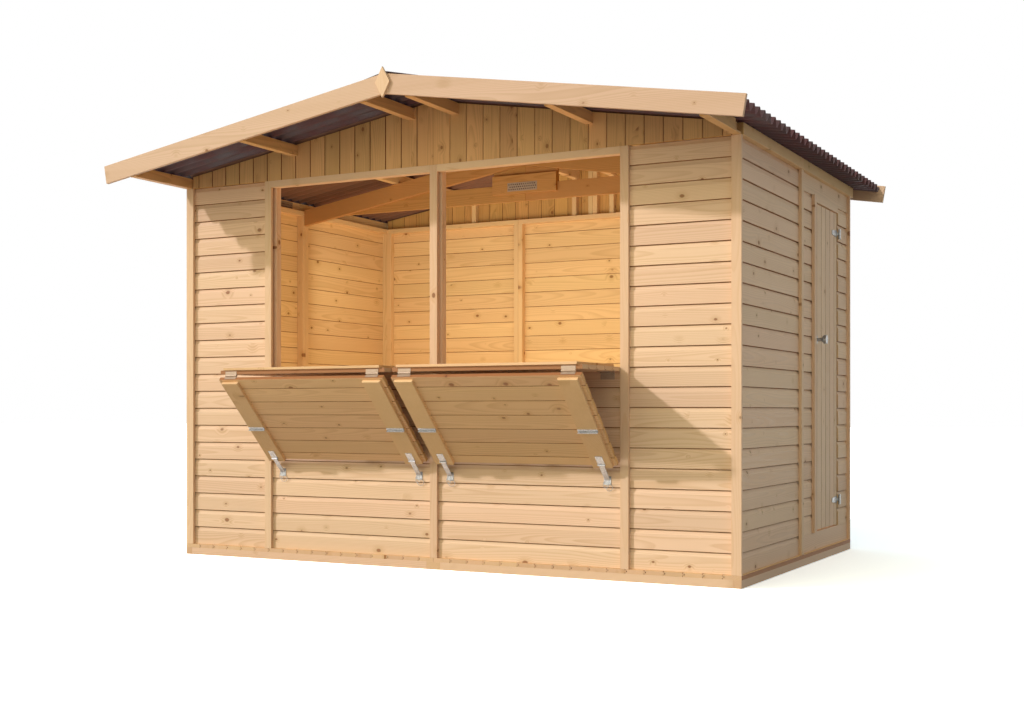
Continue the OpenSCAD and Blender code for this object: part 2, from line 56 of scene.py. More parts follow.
# %% [markdown]
# ## The camera
# The view was worked out from the stall's own corners: upright edges stay upright, so the
# camera is level, and the picture is a part of a wider one, which is what lens shift does.
# Measuring the lines that run back gives the turn of 29 degrees and the lens.

# %% Camera
camera_data = bpy.data.cameras.new("camera")
camera_data.sensor_width = 36.0
camera_data.lens = 48.80
camera_data.shift_x = 0.0639
camera_data.shift_y = 0.0578
camera = bpy.data.objects.new("camera", camera_data)
camera.location = (3.271, -6.715, 0.750)
camera.rotation_euler = (math.radians(90), 0, math.radians(29.172))
scene = bpy.context.scene
scene.collection.objects.link(camera)
scene.camera = camera
scene.view_settings.view_transform = "Standard"
print("camera", [round(v, 2) for v in camera.location], round(camera_data.lens, 1), "mm")

# %% [markdown]
# ## Shader helpers
# A material is a small graph of nodes. These helpers add one node at a time and join it to
# values or to other nodes, which keeps each recipe readable as a list of steps.

# %% Node helpers
def feed(tree, socket, value):
    """Join a socket to another node, or give it a plain value."""
    if isinstance(value, bpy.types.NodeSocket):
        tree.links.new(value, socket)
    else:
        socket.default_value = value


def add_node(tree, kind, inputs=None, **settings):
    """A node with its settings, and its inputs given by name or by number."""
    node = tree.nodes.new(kind)
    for name, value in settings.items():
        setattr(node, name, value)
    for key, value in (inputs or {}).items():
        feed(tree, node.inputs[key], value)
    return node


def maths(tree, operation, *values):
    """The result of a Math node."""
    node = add_node(tree, "ShaderNodeMath", dict(enumerate(values)), operation=operation)
    return node.outputs[0]


def vector_maths(tree, operation, *values, output="Vector"):
    """The result of a Vector Math node."""
    return add_node(tree, "ShaderNodeVectorMath", dict(enumerate(values)),
                    operation=operation).outputs[output]


def remap(tree, value, low, high, to_low=0.0, to_high=1.0):
    """A soft step: to_low below low, to_high above high."""
    inputs = {"Value": value, "From Min": low, "From Max": high,
              "To Min": to_low, "To Max": to_high}
    node = add_node(tree, "ShaderNodeMapRange", inputs, interpolation_type="SMOOTHSTEP")
    return node.outputs[0]


def blend(tree, factor, first, second, mode="MIX"):
    """Two colours mixed by a factor."""
    node = add_node(tree, "ShaderNodeMix", data_type="RGBA", blend_type=mode)
    feed(tree, node.inputs[0], factor)
    feed(tree, node.inputs[6], first)
    feed(tree, node.inputs[7], second)
    return node.outputs[2]


def noise(tree, point, scale, detail=2.0, roughness=0.5):
    """Fractal noise at a point, about 0 to 1."""
    inputs = {"Vector": point, "Scale": scale, "Detail": detail, "Roughness": roughness}
    return add_node(tree, "ShaderNodeTexNoise", inputs).outputs[0]


def split(tree, vector):
    """The x, y and z of a vector."""
    return add_node(tree, "ShaderNodeSeparateXYZ", {0: vector}).outputs


def new_group(name, inputs, outputs):
    """An empty node group; returns its tree, its inputs by name and its output node."""
    tree = bpy.data.node_groups.new(name, "ShaderNodeTree")
    for label, (kind, value) in inputs.items():
        socket = tree.interface.new_socket(label, in_out="INPUT", socket_type=kind)
        if value is not None:
            socket.default_value = value
    for label, kind in outputs.items():
        tree.interface.new_socket(label, in_out="OUTPUT", socket_type=kind)
    return tree, tree.nodes.new("NodeGroupInput").outputs, tree.nodes.new("NodeGroupOutput")


def use_group(tree, group, inputs):
    """One use of a node group inside a material."""
    node = add_node(tree, "ShaderNodeGroup", node_tree=group)
    for label, value in inputs.items():
        feed(tree, node.inputs[label], value)
    return node.outputs


def new_material(name):
    """An empty material; returns it with its tree and its output node."""
    material = bpy.data.materials.new(name)
    material.use_nodes = True
    material.node_tree.nodes.clear()
    tree = material.node_tree
    return material, tree, tree.nodes.new("ShaderNodeOutputMaterial")


COLOUR, NUMBER, POINT = "NodeSocketColor", "NodeSocketFloat", "NodeSocketVector"
print("helpers ready")

# %% [markdown]
# ## Lamps
# The picture has one low sun from the left front, which throws the roof's shadow across the
# boards. A sun lamp with a small angle gives that shadow a clear edge. A broad, warm soft light
# from the front keeps it pale, and a long low reflector lifts the boards under the overhang.
# Three lamps inside stand for the sunlight that bounces round in the wooden room: one before
# the truss, one behind it that lights the back wall alone, and one that shines up from the
# floor to the roof and the lower edges of the truss.

# %% Lamps
def aim(x, y, z):
    """The turn that points a lamp along a direction."""
    return Vector((x, y, z)).to_track_quat("-Z", "Y").to_euler()


def tilt(degrees):
    """The turn of a lamp about the x axis: 0 shines down, 90 to the back, 180 up."""
    return math.radians(degrees), 0, 0


def add_lamp(name, kind, energy, colour, place, turn, **settings):
    """A lamp; an area lamp is a rectangle that stays out of the picture."""
    data = bpy.data.lights.new(name, kind)
    data.energy = energy
    data.color = colour
    if kind == "AREA":
        data.shape = "RECTANGLE"
    for setting, value in settings.items():
        setattr(data, setting, value)
    lamp = bpy.data.objects.new(name, data)
    lamp.location = place
    lamp.rotation_euler = turn
    lamp.visible_camera = kind != "AREA"
    scene.collection.objects.link(lamp)
    print("lamp", name, energy)


add_lamp("sun", "SUN", 2.15, (1.0, 0.98, 1.08), (-4.0, -5.0, 4.5), aim(1.26, 1.0, -0.97),
         angle=math.radians(2))
add_lamp("low_reflector", "AREA", 3.4, (1.0, 0.82, 0.52), (0.0, -2.9, 0.15), aim(0.0, 1.9, 2.0),
         size=3.6, size_y=0.5, spread=math.radians(70))
add_lamp("front_softbox", "SUN", 1.9, (1.0, 0.88, 0.46), (-2.0, -6.0, 2.0), aim(0.40, 1.0, -0.10),
         angle=math.radians(100))
add_lamp("room_light", "AREA", 10.0, (0.94, 0.97, 0.76), (0.0, -0.86, 1.36), tilt(84),
         size=2.5, size_y=0.9)
add_lamp("rear_room_light", "AREA", 7.0, (0.90, 0.96, 0.92), (0.0, 0.08, 1.5), tilt(90),
         size=2.6, size_y=0.6)
add_lamp("floor_bounce", "AREA", 14.0, (1.0, 0.90, 0.62), (0.0, 0.0, 0.10), tilt(180),
         size=2.6, size_y=1.5)

# %% [markdown]
# ## Surround and ground
# A pale blue world fills the shaded side. The backdrop and the ground show white by their own
# colour, and only to rays that come from the camera, off a mirror or through glass, so no
# light is added to the stall for it. The ground keeps the stall's shadow.

# %% Surround and ground
world = bpy.data.worlds.new("surround")
scene.world = world
world.use_nodes = True
sky = world.node_tree
sky.nodes.clear()
sky_out = sky.nodes.new("ShaderNodeOutputWorld")


def seen_directly(tree):
    """1 for rays from the camera, off a mirror or through glass."""
    path = tree.nodes.new("ShaderNodeLightPath").outputs
    seen = maths(tree, "MAXIMUM", path["Is Camera Ray"], path["Is Glossy Ray"])
    return maths(tree, "MAXIMUM", seen, path["Is Transmission Ray"])


fill_light = add_node(sky, "ShaderNodeBackground",
                      {"Color": (0.84, 0.95, 1.0, 1), "Strength": 0.52})
white_back = add_node(sky, "ShaderNodeBackground", {"Color": (1, 1, 1, 1), "Strength": 1.0})
both = add_node(sky, "ShaderNodeMixShader", {
    0: seen_directly(sky), 1: fill_light.outputs[0], 2: white_back.outputs[0]})
sky.links.new(both.outputs[0], sky_out.inputs[0])

ground_material, tree, out = new_material("ground_white")
lit = add_node(tree, "ShaderNodeBsdfDiffuse", {"Color": (0.28, 0.27, 0.26, 1)})
shown = add_node(tree, "ShaderNodeBsdfDiffuse", {"Color": (2.3, 2.3, 2.3, 1)})
both = add_node(tree, "ShaderNodeMixShader", {
    0: seen_directly(tree), 1: lit.outputs[0], 2: shown.outputs[0]})
tree.links.new(both.outputs[0], out.inputs[0])

FAR = 60
ground_mesh = bpy.data.meshes.new("ground")
ground_mesh.from_pydata([(-FAR, -FAR, 0), (FAR, -FAR, 0), (FAR, FAR, 0), (-FAR, FAR, 0)], [],
                        [(0, 1, 2, 3)])
ground_mesh.materials.append(ground_material)
ground = bpy.data.objects.new("ground", ground_mesh)
scene.collection.objects.link(ground)
print("surround", round(fill_light.inputs["Strength"].default_value, 2), "and ground",
      2 * FAR, "m wide")

# %% [markdown]
# ## How spruce grows, as a node group
# A board is a slice of a trunk, so its figure is best made in three dimensions: rings are
# distances from a pith line that runs along the board and wanders a little, and a flat slice
# through them gives the long arches of the face and the arcs of the end grain at once. Each
# timber carries its own coordinates, x along the grain, with a random start, so that no two
# show the same figure. First come the knots: spots scattered through the same space, one in
# each cell of a loose lattice, some of them left out, round across the grain and drawn out
# along it.

# %% Group: spruce figure, knots
KNOT_CELL = (0.24, 0.09, 0.09)
KNOT_STRETCH = (0.72, 1.0, 0.22)
SMALLEST_KNOT, KNOT_GROWTH = 0.0035, 0.0095

figure, given, made = new_group("spruce_figure", {
    "Grain Point": (POINT, None), "Wood": (COLOUR, (0.80, 0.55, 0.34, 1)),
    "Late Wood": (COLOUR, (0.60, 0.34, 0.16, 1)), "Knot": (COLOUR, (0.26, 0.10, 0.035, 1)),
    "Ring Width": (NUMBER, 0.006), "Ring Depth": (NUMBER, 0.35), "Streaks": (NUMBER, 0.25),
    "Knot Share": (NUMBER, 0.55)}, {"Color": COLOUR, "Rings": NUMBER, "Knots": NUMBER})
point = given["Grain Point"]
lattice = vector_maths(figure, "DIVIDE", point, KNOT_CELL)
cells = add_node(figure, "ShaderNodeTexVoronoi", {
    "Vector": lattice, "Scale": 1.0, "Randomness": 0.9}).outputs
from_knot = vector_maths(figure, "SUBTRACT", lattice, cells["Position"])
from_knot = vector_maths(figure, "MULTIPLY", from_knot, KNOT_CELL)
from_knot = vector_maths(figure, "MULTIPLY", from_knot, KNOT_STRETCH)
distance = vector_maths(figure, "LENGTH", from_knot, output="Value")
ragged = maths(figure, "SUBTRACT", noise(figure, point, 160.0), 0.5)
distance = maths(figure, "ADD", distance, maths(figure, "MULTIPLY", ragged, 0.003))
chance = add_node(figure, "ShaderNodeSeparateColor", {0: cells["Color"]}).outputs
present = maths(figure, "LESS_THAN", chance[0], given["Knot Share"])
size = maths(figure, "POWER", chance[1], 1.8)
size = maths(figure, "MULTIPLY_ADD", size, KNOT_GROWTH, SMALLEST_KNOT)
closeness = maths(figure, "DIVIDE", distance, size)
core = maths(figure, "MULTIPLY", remap(figure, closeness, 0.55, 1.05, 1.0, 0.0), present)
halo = maths(figure, "MULTIPLY", remap(figure, closeness, 0.9, 3.4, 1.0, 0.0), present)
print("knots", len(figure.nodes), "nodes so far")

# %% [markdown]
# ## Rings and streaks
# The ring at a point is its distance from the wandering pith, divided by the width of a ring.
# Knots push the rings aside. Late wood darkens slowly through a ring and ends at a sharp edge.
# Two noises drawn out along the grain give fine and broad streaks.

# %% Group: spruce figure, rings
PITH_DRIFT = (0.030, 0.050)
KNOT_PUSH = 0.006

wander = add_node(figure, "ShaderNodeTexNoise", {
    "Vector": vector_maths(figure, "MULTIPLY", point, (1.1, 5.0, 5.0)), "Scale": 1.0,
    "Detail": 1.0}).outputs["Color"]
drift = split(figure, vector_maths(figure, "SUBTRACT", wander, (0.5, 0.5, 0.5)))
parts = split(figure, point)
across = maths(figure, "MULTIPLY_ADD", drift[1], PITH_DRIFT[0], parts[1])
deep = maths(figure, "MULTIPLY_ADD", drift[2], PITH_DRIFT[1], parts[2])
radius = maths(figure, "SQRT", maths(figure, "ADD", maths(figure, "MULTIPLY", across, across),
                                     maths(figure, "MULTIPLY", deep, deep)))
radius = maths(figure, "MULTIPLY_ADD", halo, KNOT_PUSH, radius)
ring = maths(figure, "FRACT", maths(figure, "DIVIDE", radius, given["Ring Width"]))
late = maths(figure, "MULTIPLY", remap(figure, ring, 0.25, 0.86),
             remap(figure, ring, 0.9, 1.0, 1.0, 0.0))
fine_point = vector_maths(figure, "MULTIPLY", point, (1.6, 70.0, 70.0))
fine = maths(figure, "SUBTRACT", noise(figure, fine_point, 1.0, 3.0, 0.6), 0.5)
broad_point = vector_maths(figure, "MULTIPLY", point, (0.7, 14.0, 14.0))
broad = maths(figure, "SUBTRACT", noise(figure, broad_point, 1.0, 1.0), 0.5)
print("rings", len(figure.nodes), "nodes so far")

# %% [markdown]
# ## Colour of the figure
# Rings, streaks and the wood around a knot add up to one shade, which mixes early and late
# wood. The knot lies on top, with a darker rim where its bark was.

# %% Group: spruce figure, colour
shade = maths(figure, "MULTIPLY", late, given["Ring Depth"])
shade = maths(figure, "MULTIPLY_ADD", fine, given["Streaks"], shade)
shade = maths(figure, "MULTIPLY_ADD", broad, given["Streaks"], shade)
shade = maths(figure, "MULTIPLY_ADD", halo, 0.30, shade)
wood_colour = blend(figure, remap(figure, shade, -0.15, 0.85), given["Wood"], given["Late Wood"])
rim = maths(figure, "MULTIPLY", remap(figure, closeness, 0.6, 0.95), core)
knot_colour = blend(figure, maths(figure, "MULTIPLY", rim, 0.5), given["Knot"],
                    (0.12, 0.04, 0.014, 1))
feed(figure, made.inputs["Color"], blend(figure, maths(figure, "MULTIPLY", core, 0.85),
                                         wood_colour, knot_colour))
feed(figure, made.inputs["Rings"], maths(figure, "MULTIPLY_ADD", fine, 0.6, late))
feed(figure, made.inputs["Knots"], core)
print("group", figure.name, len(figure.nodes), "nodes")

# %% [markdown]
# ## The tone of each board
# Boards from one pack differ: some pinker, some yellower, some a shade darker. A number per
# board, kept on the mesh, moves the wood colour a little, and end grain, which drinks light,
# is darker. Faces turned to the room are tinted orange as painted light, for the sunlight that
# bounces round the wooden room, and painted shade with some dust darkens the narrow faces in a
# joint. One group does this for every wooden finish.

# %% Group: board tone
tone_group, given, made = new_group("board_tone", {
    "Color": (COLOUR, (0.8, 0.55, 0.34, 1)), "Tone": (NUMBER, 0.5), "End Grain": (NUMBER, 0.0),
    "Spread": (NUMBER, 0.10), "Painted Bounce": (NUMBER, 0.0), "In Joint": (NUMBER, 0.0)},
    {"Color": COLOUR})
signed = maths(tone_group, "SUBTRACT", given["Tone"], 0.5)
second_draw = maths(tone_group, "FRACT", maths(tone_group, "MULTIPLY", given["Tone"], 7.31))
second_draw = maths(tone_group, "SUBTRACT", second_draw, 0.5)
value = maths(tone_group, "MULTIPLY_ADD", maths(tone_group, "MULTIPLY", signed, 2.0),
              given["Spread"], 1.0)
drunk = maths(tone_group, "MULTIPLY_ADD", given["End Grain"], -0.12, 1.0)
toned = add_node(tone_group, "ShaderNodeHueSaturation", {
    "Hue": maths(tone_group, "MULTIPLY_ADD", second_draw, 0.008, 0.5),
    "Saturation": maths(tone_group, "MULTIPLY_ADD", given["End Grain"], 0.12, 1.0),
    "Value": maths(tone_group, "MULTIPLY", value, drunk), "Color": given["Color"]}).outputs[0]
# Faces turned to the room take a warm orange: painted light for the bounce in the wooden room.
toned = blend(tone_group, given["Painted Bounce"], toned, (1.0, 0.94, 0.66, 1), "MULTIPLY")
# Narrow faces in a joint are darkened: painted shade, with some dust.
toned = blend(tone_group, given["In Joint"], toned, (0.48, 0.31, 0.20, 1), "MULTIPLY")
feed(tone_group, made.inputs["Color"], toned)
print("group", tone_group.name, len(tone_group.nodes), "nodes")

# %% [markdown]
# ## Wooden finishes
# One recipe serves all timbers: the figure gives colour, the board's tone shifts it, and the
# rings stand a hair proud of the softer wood, as planed spruce does. The finishes differ in
# colour and knots: wall boards, planed trim, sawn frame timbers, barge boards, the redder
# wood of the truss and gables, and the shutter leaves. The truss, gable and leaf finishes are
# darker in part as painted shade, for these timbers stand in shade.

# %% Wooden finishes
RING_WIDTH = 0.005
ROUGH_EARLY, ROUGH_LATE = 0.72, 0.55


def read(tree, attribute, output="Fac"):
    """What a timber's mesh says of itself."""
    return add_node(tree, "ShaderNodeAttribute", attribute_name=attribute).outputs[output]


def spruce_finish(name, wood, late, depth=0.35, streaks=0.3, knots=0.5, spread=0.06):
    """A wooden material that reads each timber's own grain, tone and kind of face."""
    material, tree, out = new_material(name)
    wood_out = use_group(tree, figure, {
        "Grain Point": read(tree, "grain", "Vector"), "Wood": (*wood, 1), "Late Wood": (*late, 1),
        "Ring Width": RING_WIDTH, "Ring Depth": depth, "Streaks": streaks, "Knot Share": knots})
    toned = use_group(tree, tone_group, {
        "Color": wood_out["Color"], "Tone": read(tree, "tone"), "End Grain": read(tree, "end"),
        "Spread": spread, "Painted Bounce": read(tree, "painted_bounce"), "In Joint": read(tree, "joint")})
    rough = remap(tree, wood_out["Rings"], 0.0, 1.0, ROUGH_EARLY, ROUGH_LATE)
    relief = maths(tree, "MULTIPLY_ADD", wood_out["Knots"], 0.6, wood_out["Rings"])
    bump = add_node(tree, "ShaderNodeBump", {
        "Strength": 0.25, "Distance": 0.0004, "Height": relief})
    shader = add_node(tree, "ShaderNodeBsdfPrincipled", {
        "Base Color": toned["Color"], "Roughness": rough, "Normal": bump.outputs[0],
        "Specular IOR Level": 0.28})
    tree.links.new(shader.outputs[0], out.inputs[0])
    print("finish", name)
    return material


siding_spruce = spruce_finish("spruce_siding", (0.80, 0.55, 0.355), (0.62, 0.38, 0.20),
                              knots=0.62)
trim_spruce = spruce_finish("planed_trim", (0.78, 0.53, 0.33), (0.66, 0.40, 0.20), knots=0.35,
                            depth=0.25)
frame_spruce = spruce_finish("sawn_frame", (0.77, 0.50, 0.24), (0.60, 0.34, 0.13), knots=0.6)
barge_spruce = spruce_finish("barge_spruce", (0.67, 0.455, 0.305), (0.52, 0.33, 0.18),
                             streaks=0.4)
# The truss, gable and leaf finishes below are darker in part as painted shade.
truss_spruce = spruce_finish("sawn_truss", (0.54, 0.26, 0.085), (0.38, 0.16, 0.04), knots=0.8)
gable_spruce = spruce_finish("spruce_gable", (0.70, 0.40, 0.17), (0.48, 0.25, 0.09), knots=0.7,
                             spread=0.10)
leaf_spruce = spruce_finish("spruce_leaf", (0.78, 0.50, 0.26), (0.60, 0.34, 0.15), knots=0.62)

# %% [markdown]
# ## Metal finishes
# The fittings are zinc-plated steel with a faint crystal pattern. The hinges at the fold and
# the nail plates are duller, and their warm cream colour is a painted reflection of the wood
# round them.

# %% Zinc, and zinc with a painted warm reflection
def metal_finish(name, pattern, dark, light, metallic, smooth, rough):
    """Plated steel: pattern makes the mask that mixes two greys from its tree and place."""
    material, tree, out = new_material(name)
    place = add_node(tree, "ShaderNodeTexCoord").outputs["Object"]
    cloudy = noise(tree, place, 60.0, 3.0)
    shader = add_node(tree, "ShaderNodeBsdfPrincipled", {
        "Base Color": blend(tree, pattern(tree, place, cloudy), (*dark, 1), (*light, 1)),
        "Metallic": metallic, "Roughness": remap(tree, cloudy, 0.3, 0.7, smooth, rough)})
    tree.links.new(shader.outputs[0], out.inputs[0])
    print("finish", name)
    return material


def spangle(tree, place, cloudy):
    """A mask of zinc crystals, one grey each."""
    cell = add_node(tree, "ShaderNodeTexVoronoi", {"Vector": place, "Scale": 260.0})
    return add_node(tree, "ShaderNodeSeparateColor", {0: cell.outputs["Color"]}).outputs[0]


def patina(tree, place, cloudy):
    """A cloudy mask."""
    return cloudy


zinc = metal_finish("zinc_plate", spangle, (0.26, 0.255, 0.25), (0.43, 0.42, 0.41),
                    0.85, 0.30, 0.46)
# Its warm cream colour is a painted reflection of the wood round the hinges and plates.
warm_zinc = metal_finish("zinc_painted_warm_reflection", patina, (0.32, 0.22, 0.15), (0.46, 0.34, 0.24),
                         0.45, 0.40, 0.60)

# %% [markdown]
# ## Roof finish
# The roof is made of corrugated bitumen sheets, a dark red-brown with a fibrous, dull surface.
# Over the room, between the walls, the underside is painted lighter and browner: painted light
# for the sunlight that bounces round the wooden room.

# %% Bitumen
ROOM_HALF_WIDTH, ROOM_FRONT = 1.48, -0.98

bitumen, tree, out = new_material("bitumen_roofing")
place = add_node(tree, "ShaderNodeTexCoord").outputs["Object"]
fibre_point = vector_maths(tree, "MULTIPLY", place, (120.0, 400.0, 400.0))
fibres = noise(tree, fibre_point, 1.0, 3.0)
mottle = noise(tree, place, 9.0, 4.0)
tint = blend(tree, remap(tree, mottle, 0.3, 0.75), (0.030, 0.012, 0.012, 1),
             (0.075, 0.022, 0.022, 1))
tint = blend(tree, remap(tree, fibres, 0.55, 0.8, 0.0, 0.4), tint, (0.16, 0.055, 0.05, 1))
# The lighter brown under the room is painted bounce light.
underside_painted_light = blend(tree, mottle, (0.15, 0.062, 0.030, 1), (0.20, 0.085, 0.045, 1))
where = split(tree, place)
facing = split(tree, add_node(tree, "ShaderNodeNewGeometry").outputs["Normal"])
down = maths(tree, "LESS_THAN", facing[2], 0.0)
between = maths(tree, "LESS_THAN", maths(tree, "ABSOLUTE", where[0]), ROOM_HALF_WIDTH)
behind = maths(tree, "GREATER_THAN", where[1], ROOM_FRONT)
over_room = maths(tree, "MULTIPLY", down, maths(tree, "MULTIPLY", between, behind))
bump = add_node(tree, "ShaderNodeBump", {"Strength": 0.5, "Distance": 0.0008, "Height": fibres})
shader = add_node(tree, "ShaderNodeBsdfPrincipled", {
    "Base Color": blend(tree, over_room, tint, underside_painted_light),
    "Roughness": remap(tree, mottle, 0.3, 0.7, 0.62, 0.82), "Normal": bump.outputs[0]})
tree.links.new(shader.outputs[0], out.inputs[0])
print("finish", bitumen.name)

# %% [markdown]
# ## Timbers from the CAD solids
# Each CAD node holds one or more solids. A solid is welded, its flat faces are joined, and it
# becomes a timber of its own with facts on its mesh: the grain point of each corner, and for
# each face its tone and whether it is end grain, turned to the room or hidden in a joint. A
# bevel rounds the edges by about a millimetre, as a planer leaves them, which catches the
# light. Everything is measured from the solid, so the timber stays exactly where the
# construction has it.

# %% Timber maker
X, Y, Z = Vector((1, 0, 0)), Vector((0, 1, 0)), Vector((0, 0, 1))
WELD = 1e-5
FLAT = math.radians(0.3)
ROUNDING, ROUNDED_FROM = 0.0012, math.radians(25)
dice = random.Random(7)


def solids_of(node):
    """The welded solids of a CAD node, each as a mesh of its own in bmesh form."""
    whole = bmesh.new()
    whole.from_mesh(nodes[node].data)
    bmesh.ops.remove_doubles(whole, verts=whole.verts, dist=WELD)
    left, solids = set(whole.verts), []
    while left:
        island, edge_of_island = set(), [min(left, key=lambda v: v.index)]
        while edge_of_island:
            vert = edge_of_island.pop()
            if vert not in island:
                island.add(vert)
                edge_of_island += [e.other_vert(vert) for e in vert.link_edges]
        left -= island
        solid, new = bmesh.new(), {}
        for vert in sorted(island, key=lambda v: v.index):
            new[vert] = solid.verts.new(vert.co)
        for face in whole.faces:
            if face.verts[0] in island:
                solid.faces.new([new[v] for v in face.verts])
        solid.normal_update()
        bmesh.ops.dissolve_limit(solid, angle_limit=FLAT, verts=solid.verts, edges=solid.edges)
        solids.append(solid)
    whole.free()
    return solids


def span(solid, axis):
    """Lowest and highest place of a solid along an axis."""
    reach = [v.co.dot(axis) for v in solid.verts]
    return min(reach), max(reach)


def frame_of(solid, along=None):
    """Axes of a timber: along the grain, across its face and through its thickness."""
    if along is None:
        along = max((X, Y, Z), key=lambda a: span(solid, a)[1] - span(solid, a)[0])
    along = along.normalized()
    sides = sorted((f for f in solid.faces if abs(f.normal.dot(along)) < 0.1),
                   key=lambda f: -f.calc_area())
    through = sides[0].normal if sides else along.orthogonal()
    through = (through - along * through.dot(along)).normalized()
    return along, through.cross(along).normalized(), through


def write_grain(solid, along=None, room=None, joint=None):
    """Writes the grain point of each corner and the facts of each face on a solid."""
    bmesh.ops.dissolve_degenerate(solid, edges=solid.edges, dist=WELD)
    solid.normal_update()
    axis, across, through = frame_of(solid, along)
    start = Vector((dice.uniform(0, 40), dice.uniform(-0.05, 0.05), dice.uniform(0.03, 0.11)))
    shade = dice.random()
    centre_across = sum(span(solid, across)) / 2
    centre_through = sum(span(solid, through)) / 2
    grain = solid.verts.layers.float_vector.new("grain")
    for vert in solid.verts:
        vert[grain] = start + Vector((vert.co.dot(axis), vert.co.dot(across) - centre_across,
                                      vert.co.dot(through) - centre_through))
    tone = solid.faces.layers.float.new("tone")
    end = solid.faces.layers.float.new("end")
    painted_bounce = solid.faces.layers.float.new("painted_bounce")
    in_joint = solid.faces.layers.float.new("joint")
    for face in solid.faces:
        face[tone] = shade
        face[end] = 1.0 if abs(face.normal.dot(axis)) > 0.8 else 0.0
        # Faces turned to the room carry the mask for painted warm bounce light.
        face[painted_bounce] = 1.0 if room and face.normal.dot(room) > 0.9 else 0.0
        # Faces across a joint carry the mask for painted shade with some dust.
        face[in_joint] = 1.0 if joint and abs(face.normal.dot(joint)) > 0.9 else 0.0


def join_solids(name, solids, material, node=None, rounding=ROUNDING):
    """One piece from several solids, with rounded edges, often in place of a CAD node."""
    mesh = bpy.data.meshes.new(name)
    whole = bmesh.new()
    for solid in solids:
        part = bpy.data.meshes.new("part")
        solid.to_mesh(part)
        whole.from_mesh(part)
        bpy.data.meshes.remove(part)
        solid.free()
    whole.to_mesh(mesh)
    whole.free()
    mesh.materials.append(material)
    piece = bpy.data.objects.new(name, mesh)
    scene.collection.objects.link(piece)
    if rounding:
        bevel = piece.modifiers.new("rounded_edges", "BEVEL")
        bevel.width = rounding
        bevel.segments = 2
        bevel.limit_method = "ANGLE"
        bevel.angle_limit = ROUNDED_FROM
    if node:
        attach(piece, "door" if node in DOOR_NODES else "stall")
        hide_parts(node)
    return piece


def timbers(node, material, along=None, room=None):
    """The squared timbers of a node as one piece."""
    solids = solids_of(node)
    for solid in solids:
        write_grain(solid, along, room)
    print(f"{node}: {len(solids)} timbers")
    return join_solids(node + "_wood", solids, material, node)


print("timber maker ready; edges rounded by", ROUNDING, "m")

# %% [markdown]
# ## Boards from the wall panels
# A panel is nailed up from tongue-and-groove boards. In the CAD model it is one solid with
# the right steps in its face, so it is sawn here at each joint, board by board. The boards
# stand nearly three millimetres apart, as they do on the real stall, and a tongue closes the
# joint from within, so it draws a thin dark line and lets no light through.

# %% Board maker
JOINT = 0.0028
BEFORE_EDGE = 0.001                 # the first cut passes this far before the panel
CLEAR_OF_STEP = 5e-5                # a board ends this far before the step in the CAD face
THINNEST_BOARD = 0.02               # as a share of the pitch; less is a sliver
TONGUE_LAP = (0.002, 0.003)         # how far a tongue reaches into the board on each side
TONGUE_DEPTH = (0.0035, 0.0085)     # its two faces, measured from the plain back
PAST_MIDDLE = 0.01                  # a panel that reaches no further lies in the left half


def saw(solid, axis, low, high):
    """The slice of a solid between two places along an axis, closed again where it was cut."""
    board = solid.copy()
    for place, keep in ((low, -1), (high, 1)):
        cut = bmesh.ops.bisect_plane(
            board, geom=board.verts[:] + board.edges[:] + board.faces[:], dist=1e-6,
            plane_co=axis * place, plane_no=axis * keep, clear_outer=True)
        rim = [e for e in cut["geom_cut"] if isinstance(e, bmesh.types.BMEdge)]
        if rim:
            bmesh.ops.holes_fill(board, edges=[e for e in rim if e.is_boundary], sides=0)
    board.normal_update()
    bmesh.ops.recalc_face_normals(board, faces=board.faces)
    if board.calc_volume(signed=True) < 0:
        bmesh.ops.reverse_faces(board, faces=board.faces)
    board.normal_update()
    return board


def tongue(solid, step, place, flat):
    """The thin tongue that closes the gap between two boards, near their flat side."""
    strip = saw(solid, step, place - TONGUE_LAP[0], place + JOINT + TONGUE_LAP[1])
    face = span(solid, flat)[1]
    for vert in strip.verts:
        depth = vert.co.dot(flat)
        inside = min(max(depth, face - TONGUE_DEPTH[1]), face - TONGUE_DEPTH[0])
        vert.co += flat * (inside - depth)
    return strip


def boards(node, material, axis, pitch, along, flat, first=None, mirrored=False, room=None):
    """A panel's boards as one piece; axis leads from board to board, flat out of the back."""
    made = []
    for solid in solids_of(node):
        step = -axis if mirrored and span(solid, axis)[1] < PAST_MIDDLE else axis
        low, high = span(solid, step)
        place, width = low, first or pitch
        while high - place > THINNEST_BOARD * pitch:
            top = place + width
            start = place + (JOINT if place > low else -BEFORE_EDGE)
            board = saw(solid, step, start, top - CLEAR_OF_STEP)
            # The board's faces across the joint get painted shade with some dust.
            write_grain(board, along, room, step)
            made.append(board)
            if place > low:
                made.append(tongue(solid, step, place, flat))
                # The tongue's broad faces get painted shade with some dust, deep in the gap.
                write_grain(made[-1], along, room, flat)
            place, width = top, pitch
        solid.free()
    print(f"{node}: {len(made)} boards and tongues")
    return join_solids(node + "_boards", made, material, node)


print("board maker ready; joints", JOINT, "m wide")

# %% [markdown]
# ## Walls, gables and door
# Wall boards lie flat and run from strip to strip; they cover 89 mm each. The gables, the door
# and the floor use boards of the same mill with a pitch of 88.5 mm. The boards of the gables
# stand upright and are counted from the middle outwards.

# %% Boarded surfaces
LAP, COVER = 0.089, 0.0885
